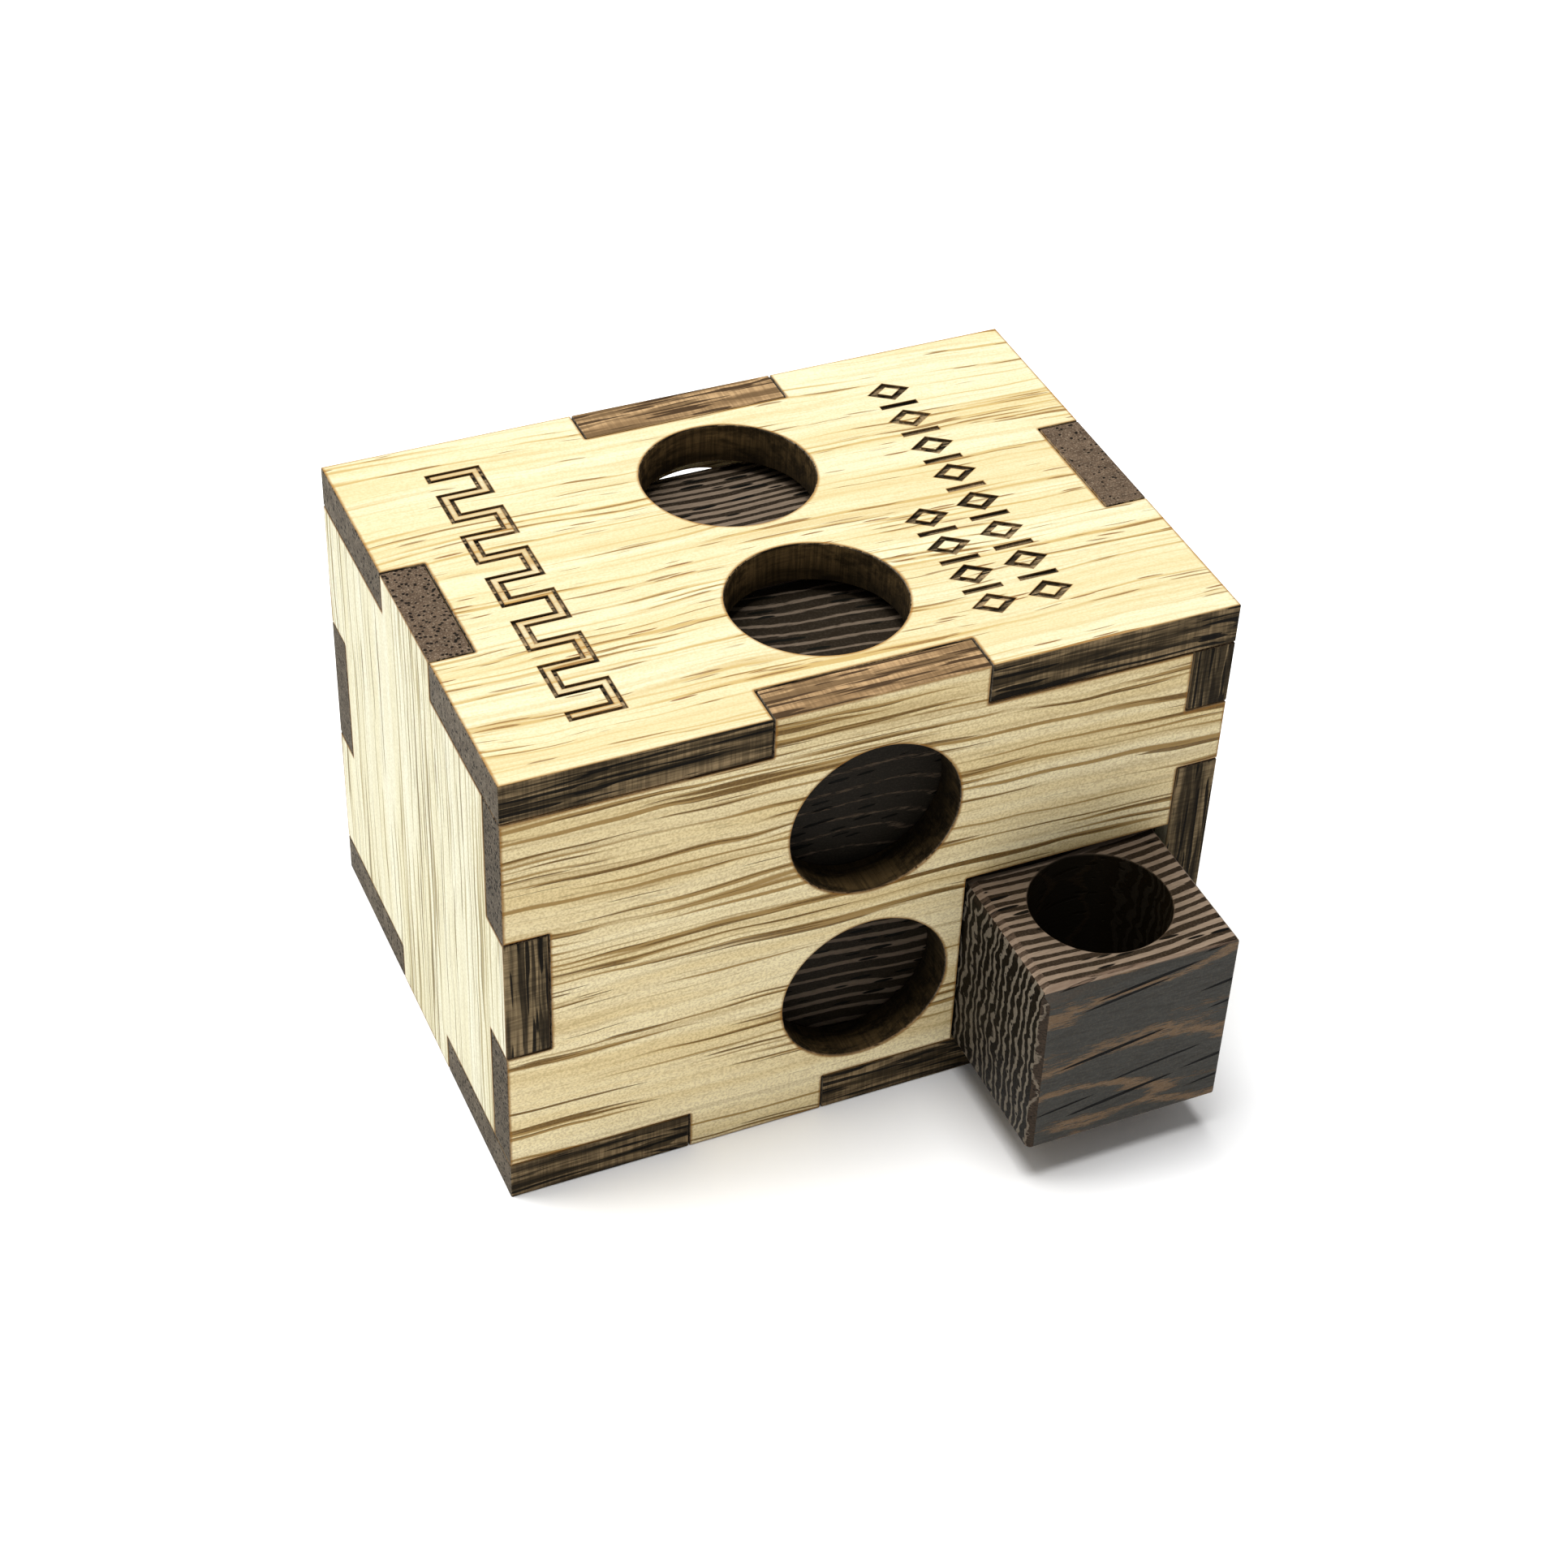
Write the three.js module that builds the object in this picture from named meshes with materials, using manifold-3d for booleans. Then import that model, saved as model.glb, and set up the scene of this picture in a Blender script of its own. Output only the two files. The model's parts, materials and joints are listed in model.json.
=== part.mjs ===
// A wooden puzzle box: six laser-cut panels, finger-jointed at every edge, round a cavity of
// 3 x 2 x 2 cells that holds puzzle pieces glued up from dark wooden cubes. One piece, the key
// piece, stands part of the way out through the opening at the lower right of the front wall.
//
// Millimetres, +Z up. The origin is the centre of the box's underside, the front wall faces -Y,
// and the box is CELLS_X cells long along X.

import * as THREE from 'three';
import { mergeVertices } from 'three/addons/utils/BufferGeometryUtils.js';
import Module from 'manifold-3d';

const wasm = await Module();
wasm.setup();

// ---------------------------------------------------------------- driving dimensions

const SHEET = 3.2; // thickness of the panels, 1/8 in. sheet
const CELL = 16; // side of one cell of the cavity
const CELLS_X = 3;
const CELLS_Y = 2;
const CELLS_Z = 2;
const KERF = 0.1; // what the laser takes out between two panels

const FINGER_HOLE_RADIUS = 6.5;
const EXIT_PLAY_LEFT = 0.5; // the exit opening is a little larger than its cell
const EXIT_PLAY_TOP = 0.1;

const BLOCK = 15.4; // side of one cube
const CHAMFER = 0.8; // sanded edges of a cube
const GLUE_LINE = 0.05; // between two cubes of one piece
const PLAY = 0.1; // between a piece and what it rests on or stops against
const KEY_HOLE_RADIUS = 5.2;
const KEY_HOLE_DEPTH = 11.5;
const KEY_HOLE_OFFSET = [0.3, -0.65]; // its axis lies off the middle, to the right and front

const ROUND_SEGMENTS = 40;

// ---------------------------------------------------------------- the box worked out from them

const CAVITY_X = CELL * CELLS_X;
const CAVITY_Y = CELL * CELLS_Y;
const CAVITY_Z = CELL * CELLS_Z;
const HALF_X = CAVITY_X / 2 + SHEET;
const HALF_Y = CAVITY_Y / 2 + SHEET;
const HEIGHT = CAVITY_Z + 2 * SHEET;
const LID_UNDERSIDE = HEIGHT - SHEET;
const BACK_WALL_INSIDE = CAVITY_Y / 2;
const RIGHT_WALL_INSIDE = CAVITY_X / 2;
const LEFT_WALL_INSIDE = -CAVITY_X / 2;

// The exit opening takes the lower right cell of the front wall.
const EXIT_LEFT = RIGHT_WALL_INSIDE - CELL - EXIT_PLAY_LEFT;
const EXIT_TOP = SHEET + CELL + EXIT_PLAY_TOP;

const PITCH = BLOCK + GLUE_LINE;

const sheetWood = { color: 0xdcc896, roughness: 0.62, metalness: 0 };
const wenge = { color: 0x4a3a33, roughness: 0.7, metalness: 0 };

// ---------------------------------------------------------------- panels

// The two places that cut the stretch from `from` to `to` into equal thirds.
function thirds(from, to) {
  const third = (to - from) / 3;
  return [from + third, to - third];
}

// A side of a panel steps at each break between its outer line, flush with the outside of the
// box, and its inner line, which butts against the neighbour. Every step leaves half a kerf.
function sideSteps(side, outer, inner) {
  const points = [];
  let isOuter = side.startsOuter;
  for (const place of side.breaks) {
    const along = place + (isOuter ? -KERF / 2 : KERF / 2);
    points.push([along, isOuter ? outer : inner]);
    points.push([along, isOuter ? inner : outer]);
    isOuter = !isOuter;
  }
  const start = side.startsOuter ? outer : inner;
  const end = isOuter ? outer : inner;
  return { points, start, end };
}

// The outline of a panel that fills the rectangle from (-halfU, lowV) to (halfU, highV).
// Sides run along +u or +v. `cutCorner` takes a rectangle out of the corner at high u, low v.
function panelOutline({ halfU, lowV, highV, bottom, right, top, left, cutCorner }) {
  const inset = SHEET + KERF;
  const low = sideSteps(bottom, lowV, lowV + inset);
  const high = sideSteps(top, highV, highV - inset);
  const near = sideSteps(left, -halfU, -halfU + inset);
  const far = sideSteps(right, halfU, halfU - inset);
  const lowFarCorner = cutCorner
    ? [[cutCorner.u, low.end], [cutCorner.u, cutCorner.v], [far.start, cutCorner.v]]
    : [[far.start, low.end]];
  const points = [
    [near.start, low.start],
    ...low.points,
    ...lowFarCorner,
    ...far.points.map(([along, across]) => [across, along]),
    [far.end, high.end],
    ...high.points.reverse(),
    [near.end, high.start],
    ...near.points.reverse().map(([along, across]) => [across, along]),
  ];
  return new THREE.Shape(points.map(([u, v]) => new THREE.Vector2(u, v)));
}

// A panel is its outline pushed one sheet thickness along w, from a corner of its own frame.
function makePanel(name, outline, fingerHoles, axes, offset) {
  for (const [u, v] of fingerHoles) {
    const hole = new THREE.Path();
    hole.absarc(u, v, FINGER_HOLE_RADIUS, 0, 2 * Math.PI, true);
    outline.holes.push(hole);
  }
  const options = { depth: SHEET, bevelEnabled: false, curveSegments: ROUND_SEGMENTS };
  const geometry = new THREE.ExtrudeGeometry(outline, options);
  const mesh = new THREE.Mesh(geometry, new THREE.MeshStandardMaterial(sheetWood));
  mesh.name = name;
  mesh.applyMatrix4(new THREE.Matrix4().makeBasis(...axes).setPosition(offset));
  return mesh;
}

const X = new THREE.Vector3(1, 0, 0);
const Y = new THREE.Vector3(0, 1, 0);
const Z = new THREE.Vector3(0, 0, 1);
const LYING = [X, Y, Z]; // u along X, v along Y, thickness upwards
const FACING_FRONT = [X, Z, Y.clone().negate()]; // u along X, v along Z, thickness to -Y
const FACING_RIGHT = [Y, Z, X]; // u along Y, v along Z, thickness to +X

const acrossX = thirds(-CAVITY_X / 2, CAVITY_X / 2);
const acrossY = thirds(-CAVITY_Y / 2, CAVITY_Y / 2);
const upZ = thirds(SHEET, LID_UNDERSIDE);
const leftOfExit = thirds(LEFT_WALL_INSIDE, EXIT_LEFT);
const aboveExit = thirds(EXIT_TOP, LID_UNDERSIDE);

// A middle tab sticks out of the middle third; outer tabs are the two thirds beside it.
const middleTab = (breaks) => ({ startsOuter: false, breaks });
const outerTabs = (breaks) => ({ startsOuter: true, breaks });

const middleColumnHoles = [-CELL / 2, CELL / 2].map((y) => [0, y]);
const middleWallHoles = [0.5, 1.5].map((layer) => [0, SHEET + layer * CELL]);

function makeBox() {
  const box = new THREE.Group();
  const lid = {
    halfU: HALF_X,
    lowV: -HALF_Y,
    highV: HALF_Y,
    bottom: outerTabs(acrossX),
    right: outerTabs(acrossY),
    top: outerTabs(acrossX),
    left: outerTabs(acrossY),
  };
  const floor = { ...lid, bottom: outerTabs(leftOfExit) };
  const backWall = {
    halfU: HALF_X,
    lowV: 0,
    highV: HEIGHT,
    bottom: middleTab(acrossX),
    right: outerTabs(upZ),
    top: middleTab(acrossX),
    left: middleTab(upZ),
  };
  // Above the exit opening the front wall keeps only the middle third of its right edge.
  const frontWall = {
    ...backWall,
    bottom: middleTab(leftOfExit),
    right: middleTab(aboveExit),
    left: outerTabs(upZ),
    cutCorner: { u: EXIT_LEFT, v: EXIT_TOP },
  };
  const sideWall = {
    halfU: HALF_Y,
    lowV: 0,
    highV: HEIGHT,
    bottom: middleTab(acrossY),
    top: middleTab(acrossY),
  };
  const leftWall = { ...sideWall, left: middleTab(upZ), right: outerTabs(upZ) };
  const rightWall = { ...sideWall, left: outerTabs(aboveExit), right: middleTab(upZ) };

  const panels = [
    ['top_panel', lid, middleColumnHoles, LYING, [0, 0, LID_UNDERSIDE]],
    ['bottom_panel', floor, middleColumnHoles, LYING, [0, 0, 0]],
    ['front_panel', frontWall, middleWallHoles, FACING_FRONT, [0, SHEET - HALF_Y, 0]],
    ['back_panel', backWall, middleWallHoles, FACING_FRONT, [0, HALF_Y, 0]],
    ['left_panel', leftWall, [], FACING_RIGHT, [-HALF_X, 0, 0]],
    ['right_panel', rightWall, [], FACING_RIGHT, [HALF_X - SHEET, 0, 0]],
  ];
  for (const [name, sides, holes, axes, offset] of panels) {
    const place = new THREE.Vector3(...offset);
    box.add(makePanel(name, panelOutline(sides), holes, axes, place));
  }
  return box;
}

// ---------------------------------------------------------------- cubes

// A cube with chamfered edges, standing on z = 0 round the Z axis.
function cubeGeometry() {
  const half = BLOCK / 2;
  const flat = half - CHAMFER;
  const corners = [
    [flat, -half], [half, -flat], [half, flat], [flat, half],
    [-flat, half], [-half, flat], [-half, -flat], [-flat, -half],
  ];
  const outline = new THREE.Shape(corners.map(([x, y]) => new THREE.Vector2(x, y)));
  const geometry = new THREE.ExtrudeGeometry(outline, {
    depth: BLOCK - 2 * CHAMFER,
    bevelThickness: CHAMFER,
    bevelSize: CHAMFER,
    bevelOffset: -CHAMFER,
    bevelSegments: 1,
  });
  return geometry.translate(0, 0, CHAMFER);
}

function toSolid(geometry) {
  const bare = geometry.index ? geometry.clone() : geometry;
  bare.deleteAttribute('normal');
  bare.deleteAttribute('uv');
  const merged = mergeVertices(bare, 1e-4);
  const vertProperties = Float32Array.from(merged.attributes.position.array);
  const triVerts = Uint32Array.from(merged.index.array);
  return new wasm.Manifold(new wasm.Mesh({ numProp: 3, vertProperties, triVerts }));
}

function fromSolid(solid) {
  const { vertProperties, triVerts, numProp } = solid.getMesh();
  const geometry = new THREE.BufferGeometry();
  geometry.setAttribute('position', new THREE.BufferAttribute(vertProperties, numProp));
  geometry.setIndex(new THREE.BufferAttribute(triVerts, 1));
  geometry.computeVertexNormals();
  return geometry;
}

// The cube that shows outside the box has a round blind hole drilled down into its top.
function drilledCubeGeometry() {
  const aboveTop = 1;
  const height = KEY_HOLE_DEPTH + aboveTop;
  const drill = new THREE.CylinderGeometry(KEY_HOLE_RADIUS, KEY_HOLE_RADIUS, height, ROUND_SEGMENTS);
  drill.rotateX(Math.PI / 2);
  drill.translate(...KEY_HOLE_OFFSET, BLOCK - KEY_HOLE_DEPTH + height / 2);
  return fromSolid(toSolid(cubeGeometry()).subtract(toSolid(drill)));
}

function makeCube(name, geometry, x, y, z) {
  const mesh = new THREE.Mesh(geometry, new THREE.MeshStandardMaterial(wenge));
  mesh.name = name;
  mesh.position.set(x, y, z);
  return mesh;
}

// ---------------------------------------------------------------- puzzle pieces

const LOWER_LAYER = SHEET + PLAY;
const UPPER_LAYER = LOWER_LAYER + BLOCK + PLAY;

// An L of three cubes. The side cube stops against the inside of the front wall, so the front
// cube stands out of the exit opening and the corner cube is behind it.
function makeKeyPiece() {
  const piece = new THREE.Group();
  const inFrontX = EXIT_LEFT + 1.5 * PLAY + BLOCK / 2;
  const insideY = -BACK_WALL_INSIDE + PLAY + BLOCK / 2;
  piece.position.set(inFrontX, insideY, LOWER_LAYER);
  piece.add(makeCube('key_front_block', drilledCubeGeometry(), 0, -PITCH, 0));
  piece.add(makeCube('key_corner_block', cubeGeometry(), 0, 0, 0));
  piece.add(makeCube('key_side_block', cubeGeometry(), -PITCH, 0, 0));
  return piece;
}

// Two cubes side by side along X, over the lower layer, with the right-hand cube in the middle.
// The front one is up against the front wall and the back one against the front one, so that
// all the play there is along Y lies behind them.
function makeUpperPiece(side, y) {
  const piece = new THREE.Group();
  piece.position.set(0, y, UPPER_LAYER);
  piece.add(makeCube(`upper_${side}_left_block`, cubeGeometry(), -PITCH, 0, 0));
  piece.add(makeCube(`upper_${side}_middle_block`, cubeGeometry(), 0, 0, 0));
  return piece;
}

// Two cubes one behind the other against the left wall, under the upper pieces.
function makeCornerPiece() {
  const piece = new THREE.Group();
  piece.position.set(LEFT_WALL_INSIDE + PLAY + BLOCK / 2, 0, LOWER_LAYER);
  piece.add(makeCube('corner_front_block', cubeGeometry(), 0, -PITCH / 2, 0));
  piece.add(makeCube('corner_back_block', cubeGeometry(), 0, PITCH / 2, 0));
  return piece;
}

const UPPER_FRONT_Y = -BACK_WALL_INSIDE + PLAY + BLOCK / 2;
const UPPER_BACK_Y = UPPER_FRONT_Y + BLOCK + PLAY;

const group = new THREE.Group();
group.add(makeBox());
group.add(makeKeyPiece());
group.add(makeUpperPiece('front', UPPER_FRONT_Y));
group.add(makeUpperPiece('back', UPPER_BACK_Y));
group.add(makeCornerPiece());

export default group;
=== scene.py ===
"""Looks of the wooden puzzle box: pale laser-cut panels, finger-jointed and burnt at every cut
edge, and puzzle pieces glued from sanded wenge cubes. Metres, in the frame of the CAD model."""

import json
import math

import bpy
import bmesh
from mathutils import Matrix, Vector
from mathutils.geometry import delaunay_2d_cdt


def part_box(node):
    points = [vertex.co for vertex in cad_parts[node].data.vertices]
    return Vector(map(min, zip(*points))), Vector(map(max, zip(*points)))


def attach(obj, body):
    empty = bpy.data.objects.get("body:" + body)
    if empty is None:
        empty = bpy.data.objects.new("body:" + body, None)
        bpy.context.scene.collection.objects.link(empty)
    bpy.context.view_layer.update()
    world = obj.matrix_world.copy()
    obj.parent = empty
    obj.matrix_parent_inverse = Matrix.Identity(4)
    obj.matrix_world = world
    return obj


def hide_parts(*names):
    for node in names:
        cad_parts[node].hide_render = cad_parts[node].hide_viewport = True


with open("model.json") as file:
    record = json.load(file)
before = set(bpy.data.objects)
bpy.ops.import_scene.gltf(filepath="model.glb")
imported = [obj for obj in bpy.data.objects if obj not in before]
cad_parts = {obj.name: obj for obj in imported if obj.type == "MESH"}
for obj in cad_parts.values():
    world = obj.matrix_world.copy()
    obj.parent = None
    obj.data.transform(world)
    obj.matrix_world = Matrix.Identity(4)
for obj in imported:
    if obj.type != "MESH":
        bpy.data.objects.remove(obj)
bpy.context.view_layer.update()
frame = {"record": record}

MM = 0.001

# ---------------------------------------------------------------- sizes, from the frame

_, TOP_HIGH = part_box("top_panel")
FLOOR_LOW, FLOOR_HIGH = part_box("bottom_panel")
HALF_X = TOP_HIGH.x
HALF_Y = TOP_HIGH.y
HEIGHT = TOP_HIGH.z
SHEET = FLOOR_HIGH.z - FLOOR_LOW.z
CAVITY_X = 2 * (HALF_X - SHEET)
CAVITY_Y = 2 * (HALF_Y - SHEET)
CELL = CAVITY_Y / 2
KERF = 0.1 * MM
FINGER_HOLE_RADIUS = 6.45 * MM
EXIT_PLAY_LEFT = 0.5 * MM  # the exit opening is a little larger than its cell
EXIT_PLAY_TOP = 0.1 * MM
EXIT_LEFT = HALF_X - SHEET - CELL - EXIT_PLAY_LEFT
EXIT_TOP = SHEET + CELL + EXIT_PLAY_TOP

ARRIS = 0.07 * MM  # the laser leaves a slightly rounded edge
HALO = 0.34 * MM  # and scorches the face beside it
CORNER_RADIUS = 0.12 * MM
LEAST_RADIUS = 0.02 * MM
CORNER_STEPS = 3
HOLE_SEGMENTS = 96
ENGRAVED_DEPTH = 0.22 * MM

# Scorch is 0 on a face, 1 on a plain cut edge and more on the sooty wall of a finger hole.
ARRIS_SCORCH = 0.8
GROOVE_SCORCH = 0.75  # at the upper edge of an engraved line
SOOT = 1.6  # at the mouth of a finger hole's wall
# Darker still at the inner end: soot, with painted shade deep in the hole added on top.
DEEP_SOOT_AND_SHADE = 2.2  # at its inner end

KEY_HOLE_RADIUS = 5.2 * MM
KEY_HOLE_DEPTH = 11.5 * MM
KEY_HOLE_CENTRE = (0.3 * MM, -0.65 * MM)  # off the middle of its cube, to the right and front
KEY_HOLE_RIM = 0.12 * MM  # its broken upper edge
KEY_HOLE_FILLET = 1 * MM  # its soft corner at the bed

# ---------------------------------------------------------------- flat outlines


def thirds(start, end):
    third = (end - start) / 3
    return [start + third, end - third]


def side_steps(starts_outer, breaks, outer, inner):
    """The steps along one side, and the line that the side starts on and the one it ends on."""
    points = []
    is_outer = starts_outer
    for place in breaks:
        along = place + (-KERF / 2 if is_outer else KERF / 2)
        points.append((along, outer if is_outer else inner))
        points.append((along, inner if is_outer else outer))
        is_outer = not is_outer
    return points, (outer if starts_outer else inner), (outer if is_outer else inner)


def panel_outline(half_u, low_v, high_v, bottom, right, top, left, cut_corner=None):
    """Anticlockwise outline of a finger-jointed panel. Each side is (starts_outer, breaks)."""
    inset = SHEET + KERF
    low, low_start, low_end = side_steps(*bottom, low_v, low_v + inset)
    high, high_start, high_end = side_steps(*top, high_v, high_v - inset)
    near, near_start, near_end = side_steps(*left, -half_u, -half_u + inset)
    far, far_start, far_end = side_steps(*right, half_u, half_u - inset)
    points = [(near_start, low_start)] + low
    if cut_corner:
        u, v = cut_corner
        points += [(u, low_end), (u, v), (far_start, v)]
    else:
        points.append((far_start, low_end))
    points += [(across, along) for along, across in far]
    points.append((far_end, high_end))
    points += reversed(high)
    points.append((near_end, high_start))
    points += [(across, along) for along, across in reversed(near)]
    return [Vector(p) for p in points]


def turn(a, b, c):
    """Positive where the path a, b, c turns left."""
    return (b - a).cross(c - b)


def mitre(into, out, distance):
    """How far a corner moves when the lines before and after it move to their left."""
    normal_in = Vector((-into.y, into.x))
    normal_out = Vector((-out.y, out.x))
    return (normal_in + normal_out) * (distance / (1 + normal_in.dot(normal_out)))


def mitred(points, distance):
    """The closed outline moved inwards by a distance, corner by corner."""
    corners = []
    for i, here in enumerate(points):
        into = (here - points[i - 1]).normalized()
        out = (points[(i + 1) % len(points)] - here).normalized()
        corners.append(here + mitre(into, out, distance))
    return corners


def inset_loop(points, distance, radius, steps=CORNER_STEPS):
    """The outline moved inwards by a distance, with every corner rounded by the same number of
    points, so that two such loops can be joined by quads."""
    corners = mitred(points, distance)
    loop = []
    for i, corner in enumerate(corners):
        before = corners[i - 1]
        after = corners[(i + 1) % len(corners)]
        into = (corner - before).normalized()
        out = (after - corner).normalized()
        convex = turn(before, corner, after) > 0
        corner_radius = max(radius - distance, LEAST_RADIUS) if convex else radius + distance
        back = corner_radius * abs(math.tan(0.5 * into.angle_signed(out)))
        start = corner - into * back
        end = corner + out * back
        for step in range(steps + 1):
            t = step / steps
            loop.append(start.lerp(corner, t).lerp(corner.lerp(end, t), t))
    return loop


def circle(centre, radius):
    """Clockwise, so that the outline of a hole has its material on the left too."""
    turns = [2 * math.pi * i / HOLE_SEGMENTS for i in range(HOLE_SEGMENTS)]
    return [Vector(centre) + radius * Vector((math.cos(a), -math.sin(a))) for a in turns]


def inside(point, loop):
    """Even-odd test of a point against one closed loop."""
    crossed = False
    x, y = point
    for i, a in enumerate(loop):
        b = loop[i - 1]
        if (a.y > y) != (b.y > y) and x < (b.x - a.x) * (y - a.y) / (b.y - a.y) + a.x:
            crossed = not crossed
    return crossed


def stroke(path, half_width, closed=False):
    """The outline of a line of some width with square ends, or the two outlines of a closed one."""
    if closed:
        return [mitred(path, -half_width), mitred(path, half_width)]
    line = [Vector(p) for p in path]
    first = (line[0] - line[1]).normalized() * half_width
    last = (line[-1] - line[-2]).normalized() * half_width
    line[0] += first
    line[-1] += last
    left, right = [], []
    for i, here in enumerate(line):
        into = (here - line[i - 1]).normalized() if i else (line[1] - here).normalized()
        onward = (line[i + 1] - here).normalized() if i + 1 < len(line) else into
        offset = mitre(into, onward, half_width)
        left.append(here + offset)
        right.append(here - offset)
    return [right + left[::-1]]


# ---------------------------------------------------------------- solid from a flat outline


class Slab:
    """A solid with flat ends, built ring by ring in its own u, v, w frame, with a scorch attribute
    that fades from its cut walls to 0 on its faces."""

    def __init__(self, to_frame):
        self.bm = bmesh.new()
        self.scorch = self.bm.verts.layers.float.new("scorch")
        self.to_frame = to_frame

    def ring(self, loop, w, scorch):
        verts = []
        for p in loop:
            vert = self.bm.verts.new(self.to_frame @ Vector((p.x, p.y, w)))
            vert[self.scorch] = scorch
            verts.append(vert)
        return verts

    def join(self, lower, upper):
        count = len(lower)
        for i in range(count):
            j = (i + 1) % count
            self.bm.faces.new((lower[i], lower[j], upper[j], upper[i]))

    def fill(self, rings, w, keep):
        """Triangles between closed rings that lie at one height, where keep(point) is true."""
        verts = [v for ring in rings for v in ring]
        from_frame = self.to_frame.inverted()
        flat = [(from_frame @ v.co).to_2d() for v in verts]
        edges = []
        start = 0
        for ring in rings:
            count = len(ring)
            edges += [(start + i, start + (i + 1) % count) for i in range(count)]
            start += count
        result = delaunay_2d_cdt([p / MM for p in flat], edges, [], 0, 1e-6)
        points, _, triangles, sources = result[:4]
        for triangle in triangles:
            centre = sum((points[i] for i in triangle), Vector((0, 0))) * (MM / 3)
            if keep(centre):
                self.bm.faces.new([verts[sources[i][0]] for i in triangle])

    def cut(self, point, normal):
        """Takes off what lies beyond a plane, and closes the cut with one flat face."""
        whole = self.bm.verts[:] + self.bm.edges[:] + self.bm.faces[:]
        result = bmesh.ops.bisect_plane(
            self.bm, geom=whole, plane_co=point, plane_no=normal, clear_outer=True
        )
        rim = [item for item in result["geom_cut"] if isinstance(item, bmesh.types.BMEdge)]
        bmesh.ops.edgeloop_fill(self.bm, edges=rim)

    def finish(self, name, sharp):
        bmesh.ops.recalc_face_normals(self.bm, faces=self.bm.faces)
        mesh = bpy.data.meshes.new(name)
        self.bm.to_mesh(mesh)
        self.bm.free()
        mesh.shade_smooth()
        mesh.set_sharp_from_angle(angle=math.radians(sharp))
        obj = bpy.data.objects.new(name, mesh)
        bpy.context.scene.collection.objects.link(obj)
        return obj


def build_panel(name, outline, holes, to_frame, outer_first, engraving=()):
    """A panel with a slightly rounded, scorched arris on both faces, round finger holes, and, on
    its upper face, engraved grooves. outer_first tells whether its outer face is at the start of
    its thickness. An engraving is a list of (halo, groove, tint): the loop where its scorch ends,
    the loop of its edge, and how scorched the face stays beyond."""
    slab = Slab(to_frame)
    makers = [(lambda d: inset_loop(outline, d, CORNER_RADIUS), 1.0, 1.0, 1.0)]
    for hole in holes:
        # The scorch of a hole's wall at the start and end, and of its arris at the inner face.
        wall = (SOOT, DEEP_SOOT_AND_SHADE) if outer_first else (DEEP_SOOT_AND_SHADE, SOOT)
        makers.append((lambda d, hole=hole: circle(hole, FINGER_HOLE_RADIUS + d), *wall, DEEP_SOOT_AND_SHADE))
    bottoms, tops, top_loops = [], [], []
    for make, start, end, inner in makers:
        low, high = (1.0, inner) if outer_first else (inner, 1.0)
        levels = [
            (HALO, 0, 0.0), (ARRIS, 0, ARRIS_SCORCH), (0, ARRIS, low), (0, 3 * ARRIS, start),
            (0, SHEET - 3 * ARRIS, end), (0, SHEET - ARRIS, high), (ARRIS, SHEET, ARRIS_SCORCH),
            (HALO, SHEET, 0.0),
        ]
        rings = [slab.ring(make(inset), w, scorch) for inset, w, scorch in levels]
        for lower, upper in zip(rings, rings[1:]):
            slab.join(lower, upper)
        bottoms.append(rings[0])
        tops.append(rings[-1])
        top_loops.append(make(HALO))

    def on_panel(point):
        return inside(point, top_loops[0]) and not any(inside(point, h) for h in top_loops[1:])

    slab.fill(bottoms, 0, on_panel)
    floor = SHEET - ENGRAVED_DEPTH
    grooves, floor_rings = [], []
    for halo, groove, tint in engraving:
        halo_ring = slab.ring(halo, SHEET, tint)
        edge = slab.ring(groove, SHEET, GROOVE_SCORCH)
        bed = slab.ring(groove, floor, 1.0)
        slab.join(edge, bed)
        tops += [halo_ring, edge]
        floor_rings.append(bed)
        grooves.append(groove)

    def engraved(point):
        return sum(inside(point, g) for g in grooves) % 2 == 1

    slab.fill(tops, SHEET, lambda p: on_panel(p) and not engraved(p))
    if floor_rings:
        slab.fill(floor_rings, floor, engraved)
    return slab.finish(name, PANEL_SHARP)


# ---------------------------------------------------------------- the six panels

X, Y, Z = Vector((1, 0, 0)), Vector((0, 1, 0)), Vector((0, 0, 1))


def axes(u, v, w, offset):
    """The frame of a panel: its u, v and thickness directions and where it starts."""
    turned = Matrix((u, v, w)).transposed().to_4x4()
    return Matrix.Translation(offset) @ turned


def outline_sets():
    """What panel_outline needs to know of each panel."""
    across_x = thirds(-CAVITY_X / 2, CAVITY_X / 2)
    across_y = thirds(-CAVITY_Y / 2, CAVITY_Y / 2)
    up_z = thirds(SHEET, HEIGHT - SHEET)
    beside_exit = thirds(-CAVITY_X / 2, EXIT_LEFT)
    above_exit = thirds(EXIT_TOP, HEIGHT - SHEET)
    lid = dict(
        half_u=HALF_X, low_v=-HALF_Y, high_v=HALF_Y, bottom=(True, across_x),
        right=(True, across_y), top=(True, across_x), left=(True, across_y),
    )
    back = dict(
        half_u=HALF_X, low_v=0, high_v=HEIGHT, bottom=(False, across_x),
        right=(True, up_z), top=(False, across_x), left=(False, up_z),
    )
    side = dict(
        half_u=HALF_Y, low_v=0, high_v=HEIGHT, bottom=(False, across_y), top=(False, across_y)
    )
    return {
        "top_panel": lid,
        "bottom_panel": dict(lid, bottom=(True, beside_exit)),
        "back_panel": back,
        "front_panel": dict(
            back, bottom=(False, beside_exit), right=(False, above_exit), left=(True, up_z),
            cut_corner=(EXIT_LEFT, EXIT_TOP),
        ),
        "left_panel": dict(side, left=(False, up_z), right=(True, up_z)),
        "right_panel": dict(side, left=(True, above_exit), right=(False, up_z)),
    }


LINE = 0.15 * MM  # half the width of the burnt outline
BURR = 0.1 * MM  # scorched skin beside an engraved line
BAND_TINT = 0.42  # the skin between two close outlines is toasted all over


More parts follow.
